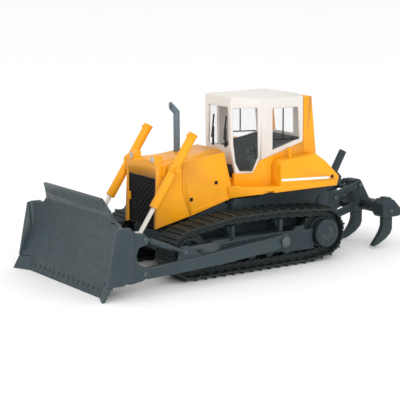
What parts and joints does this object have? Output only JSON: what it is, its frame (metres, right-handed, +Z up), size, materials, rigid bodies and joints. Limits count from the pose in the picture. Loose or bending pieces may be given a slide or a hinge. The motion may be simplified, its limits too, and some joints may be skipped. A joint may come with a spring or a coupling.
{
  "type": "toy crawler bulldozer",
  "caption": "Toy crawler bulldozer at small scale with liftable blade on push arms, lift cylinders, turning sprockets and idlers, glazed cab, and rear parallelogram ripper.",
  "frame": {"origin": "on the ground, under the middle of the whole model's length and width", "axes": "+Z up; -Y forwards, towards the blade; +X the machine's left"},
  "size_m": [0.065, 0.1432, 0.063],
  "materials": {
    "body_yellow": "orange-yellow moulded plastic, satin gloss",
    "cab_white": "warm white moulded plastic, satin gloss",
    "window_clear": "clear moulded window insert",
    "lamp_silver": "silver printed lamp lens",
    "trim_black": "black matt plastic",
    "stack_grey": "blue-grey plastic",
    "rod_grey": "light warm grey plastic rod",
    "track_black": "near-black soft plastic",
    "interior_dark": "dark grey-green interior plastic",
    "steel_pin": "darkened steel pins and screws",
    "frame_grey": "dark blue-grey plastic"
  },
  "bodies": {
    "root": {"arm_trunnions": "steel_pin", "bracket_pins": "steel_pin", "cab_base": "body_yellow", "cab_glazing": "window_clear", "cab_shell": "cab_white", "chassis_screws": "steel_pin", "chassis_tub": "frame_grey", "control_consoles": "interior_dark", "deck": "body_yellow", "drive_axle": "steel_pin", "engine_hood": "body_yellow", "exhaust_stack": "stack_grey", "headlights": "lamp_silver", "hood_latches": "trim_black", "idler_axles": "steel_pin", "lift_bracket_left": "body_yellow", "lift_bracket_right": "body_yellow", "operator_seat": "interior_dark", "radiator_grille": "trim_black", "radiator_housing": "body_yellow", "ripper_bracket": "frame_grey", "rops_frame": "body_yellow", "side_tank_left": "body_yellow", "side_tank_right": "body_yellow", "tail_body": "body_yellow", "track_belt_left": "track_black", "track_belt_right": "track_black", "track_frame_left": "frame_grey", "track_frame_right": "frame_grey", "wipers": "trim_black"},
    "sprocket_left_body": {"sprocket_left": "track_black", "final_drive_hub_left": "frame_grey"},
    "sprocket_right_body": {"sprocket_right": "track_black", "final_drive_hub_right": "frame_grey"},
    "idler_left_body": {"idler_left": "track_black"},
    "idler_right_body": {"idler_right": "track_black"},
    "blade": {"moldboard": "frame_grey", "cutting_edge": "frame_grey", "end_bits": "frame_grey", "edge_bolts": "frame_grey", "push_arm_left": "frame_grey", "push_arm_right": "frame_grey", "tilt_strut_left": "frame_grey", "tilt_strut_right": "frame_grey", "blade_pins": "steel_pin"},
    "lift_barrel_left_body": {"lift_barrel_left": "body_yellow"},
    "lift_barrel_right_body": {"lift_barrel_right": "body_yellow"},
    "lift_rod_left_body": {"lift_rod_left": "rod_grey"},
    "lift_rod_right_body": {"lift_rod_right": "rod_grey"},
    "lower_link": {"ripper_lower_link": "frame_grey", "lower_link_pins": "steel_pin"},
    "upper_link": {"ripper_upper_link": "frame_grey"},
    "ripper": {"ripper_beam": "frame_grey", "ripper_shank_left": "frame_grey", "ripper_shank_center": "frame_grey", "ripper_shank_right": "frame_grey", "beam_pins": "steel_pin"},
    "ripper_barrel_body": {"ripper_barrel": "frame_grey"},
    "ripper_rod_body": {"ripper_rod": "frame_grey"}
  },
  "joints": [
    {"name": "blade_lift", "type": "hinge", "parent": "root", "child": "blade", "pos_m": [0, 0.0075, 0.011], "axis": [-1, 0, 0], "range_deg": [0, 11]},
    {"name": "lift_swing_left", "type": "hinge", "parent": "root", "child": "lift_barrel_left_body", "pos_m": [0.015, -0.0312, 0.03905], "axis": [-1, 0, 0], "range_deg": [0, 12.66]},
    {"name": "lift_slide_left", "type": "slide", "parent": "lift_barrel_left_body", "child": "lift_rod_left_body", "axis": [0, 0.564, 0.8258], "range_m": [0, 0.00963]},
    {"name": "sprocket_spin_left", "type": "hinge", "parent": "root", "child": "sprocket_left_body", "pos_m": [0, 0.03, 0.0108], "axis": [1, 0, 0], "continuous": true},
    {"name": "idler_spin_left", "type": "hinge", "parent": "root", "child": "idler_left_body", "pos_m": [0, -0.0292, 0.0098], "axis": [1, 0, 0], "continuous": true},
    {"name": "lift_swing_right", "type": "hinge", "parent": "root", "child": "lift_barrel_right_body", "pos_m": [-0.015, -0.0312, 0.03905], "axis": [-1, 0, 0], "range_deg": [0, 12.66]},
    {"name": "lift_slide_right", "type": "slide", "parent": "lift_barrel_right_body", "child": "lift_rod_right_body", "axis": [0, 0.564, 0.8258], "range_m": [0, 0.00963]},
    {"name": "sprocket_spin_right", "type": "hinge", "parent": "root", "child": "sprocket_right_body", "pos_m": [0, 0.03, 0.0108], "axis": [1, 0, 0], "continuous": true},
    {"name": "idler_spin_right", "type": "hinge", "parent": "root", "child": "idler_right_body", "pos_m": [0, -0.0292, 0.0098], "axis": [1, 0, 0], "continuous": true},
    {"name": "ripper_lift", "type": "hinge", "parent": "root", "child": "lower_link", "pos_m": [0, 0.0472, 0.011], "axis": [1, 0, 0], "range_deg": [0, 22]},
    {"name": "ripper_upper_link", "type": "hinge", "parent": "root", "child": "upper_link", "pos_m": [0, 0.049, 0.0194], "axis": [1, 0, 0], "range_deg": [0, 22.5]},
    {"name": "ripper_level", "type": "hinge", "parent": "lower_link", "child": "ripper", "pos_m": [0, 0.0612, 0.0146], "axis": [-1, 0, 0], "range_deg": [0, 22.5]},
    {"name": "ripper_swing", "type": "hinge", "parent": "root", "child": "ripper_barrel_body", "pos_m": [0, 0.05205, 0.026], "axis": [1, 0, 0], "range_deg": [0, 0.94]},
    {"name": "ripper_slide", "type": "slide", "parent": "ripper_barrel_body", "child": "ripper_rod_body", "axis": [0, -0.509, -0.8607], "range_m": [0, 0.00147]}
  ],
  "couplings": [
    {"joint": "lift_swing_left", "follows": "blade_lift", "ratio": 1.1087},
    {"joint": "lift_slide_left", "follows": "blade_lift", "m_per_rad": 0.047673},
    {"joint": "idler_spin_left", "follows": "sprocket_spin_left", "ratio": 1},
    {"joint": "lift_swing_right", "follows": "blade_lift", "ratio": 1.1087},
    {"joint": "lift_slide_right", "follows": "blade_lift", "m_per_rad": 0.047673},
    {"joint": "idler_spin_right", "follows": "sprocket_spin_right", "ratio": 1},
    {"joint": "ripper_upper_link", "follows": "ripper_lift", "ratio": 1},
    {"joint": "ripper_level", "follows": "ripper_lift", "ratio": 1},
    {"joint": "ripper_swing", "follows": "ripper_lift", "ratio": 0.030445},
    {"joint": "ripper_slide", "follows": "ripper_lift", "m_per_rad": 0.003412}
  ]
}
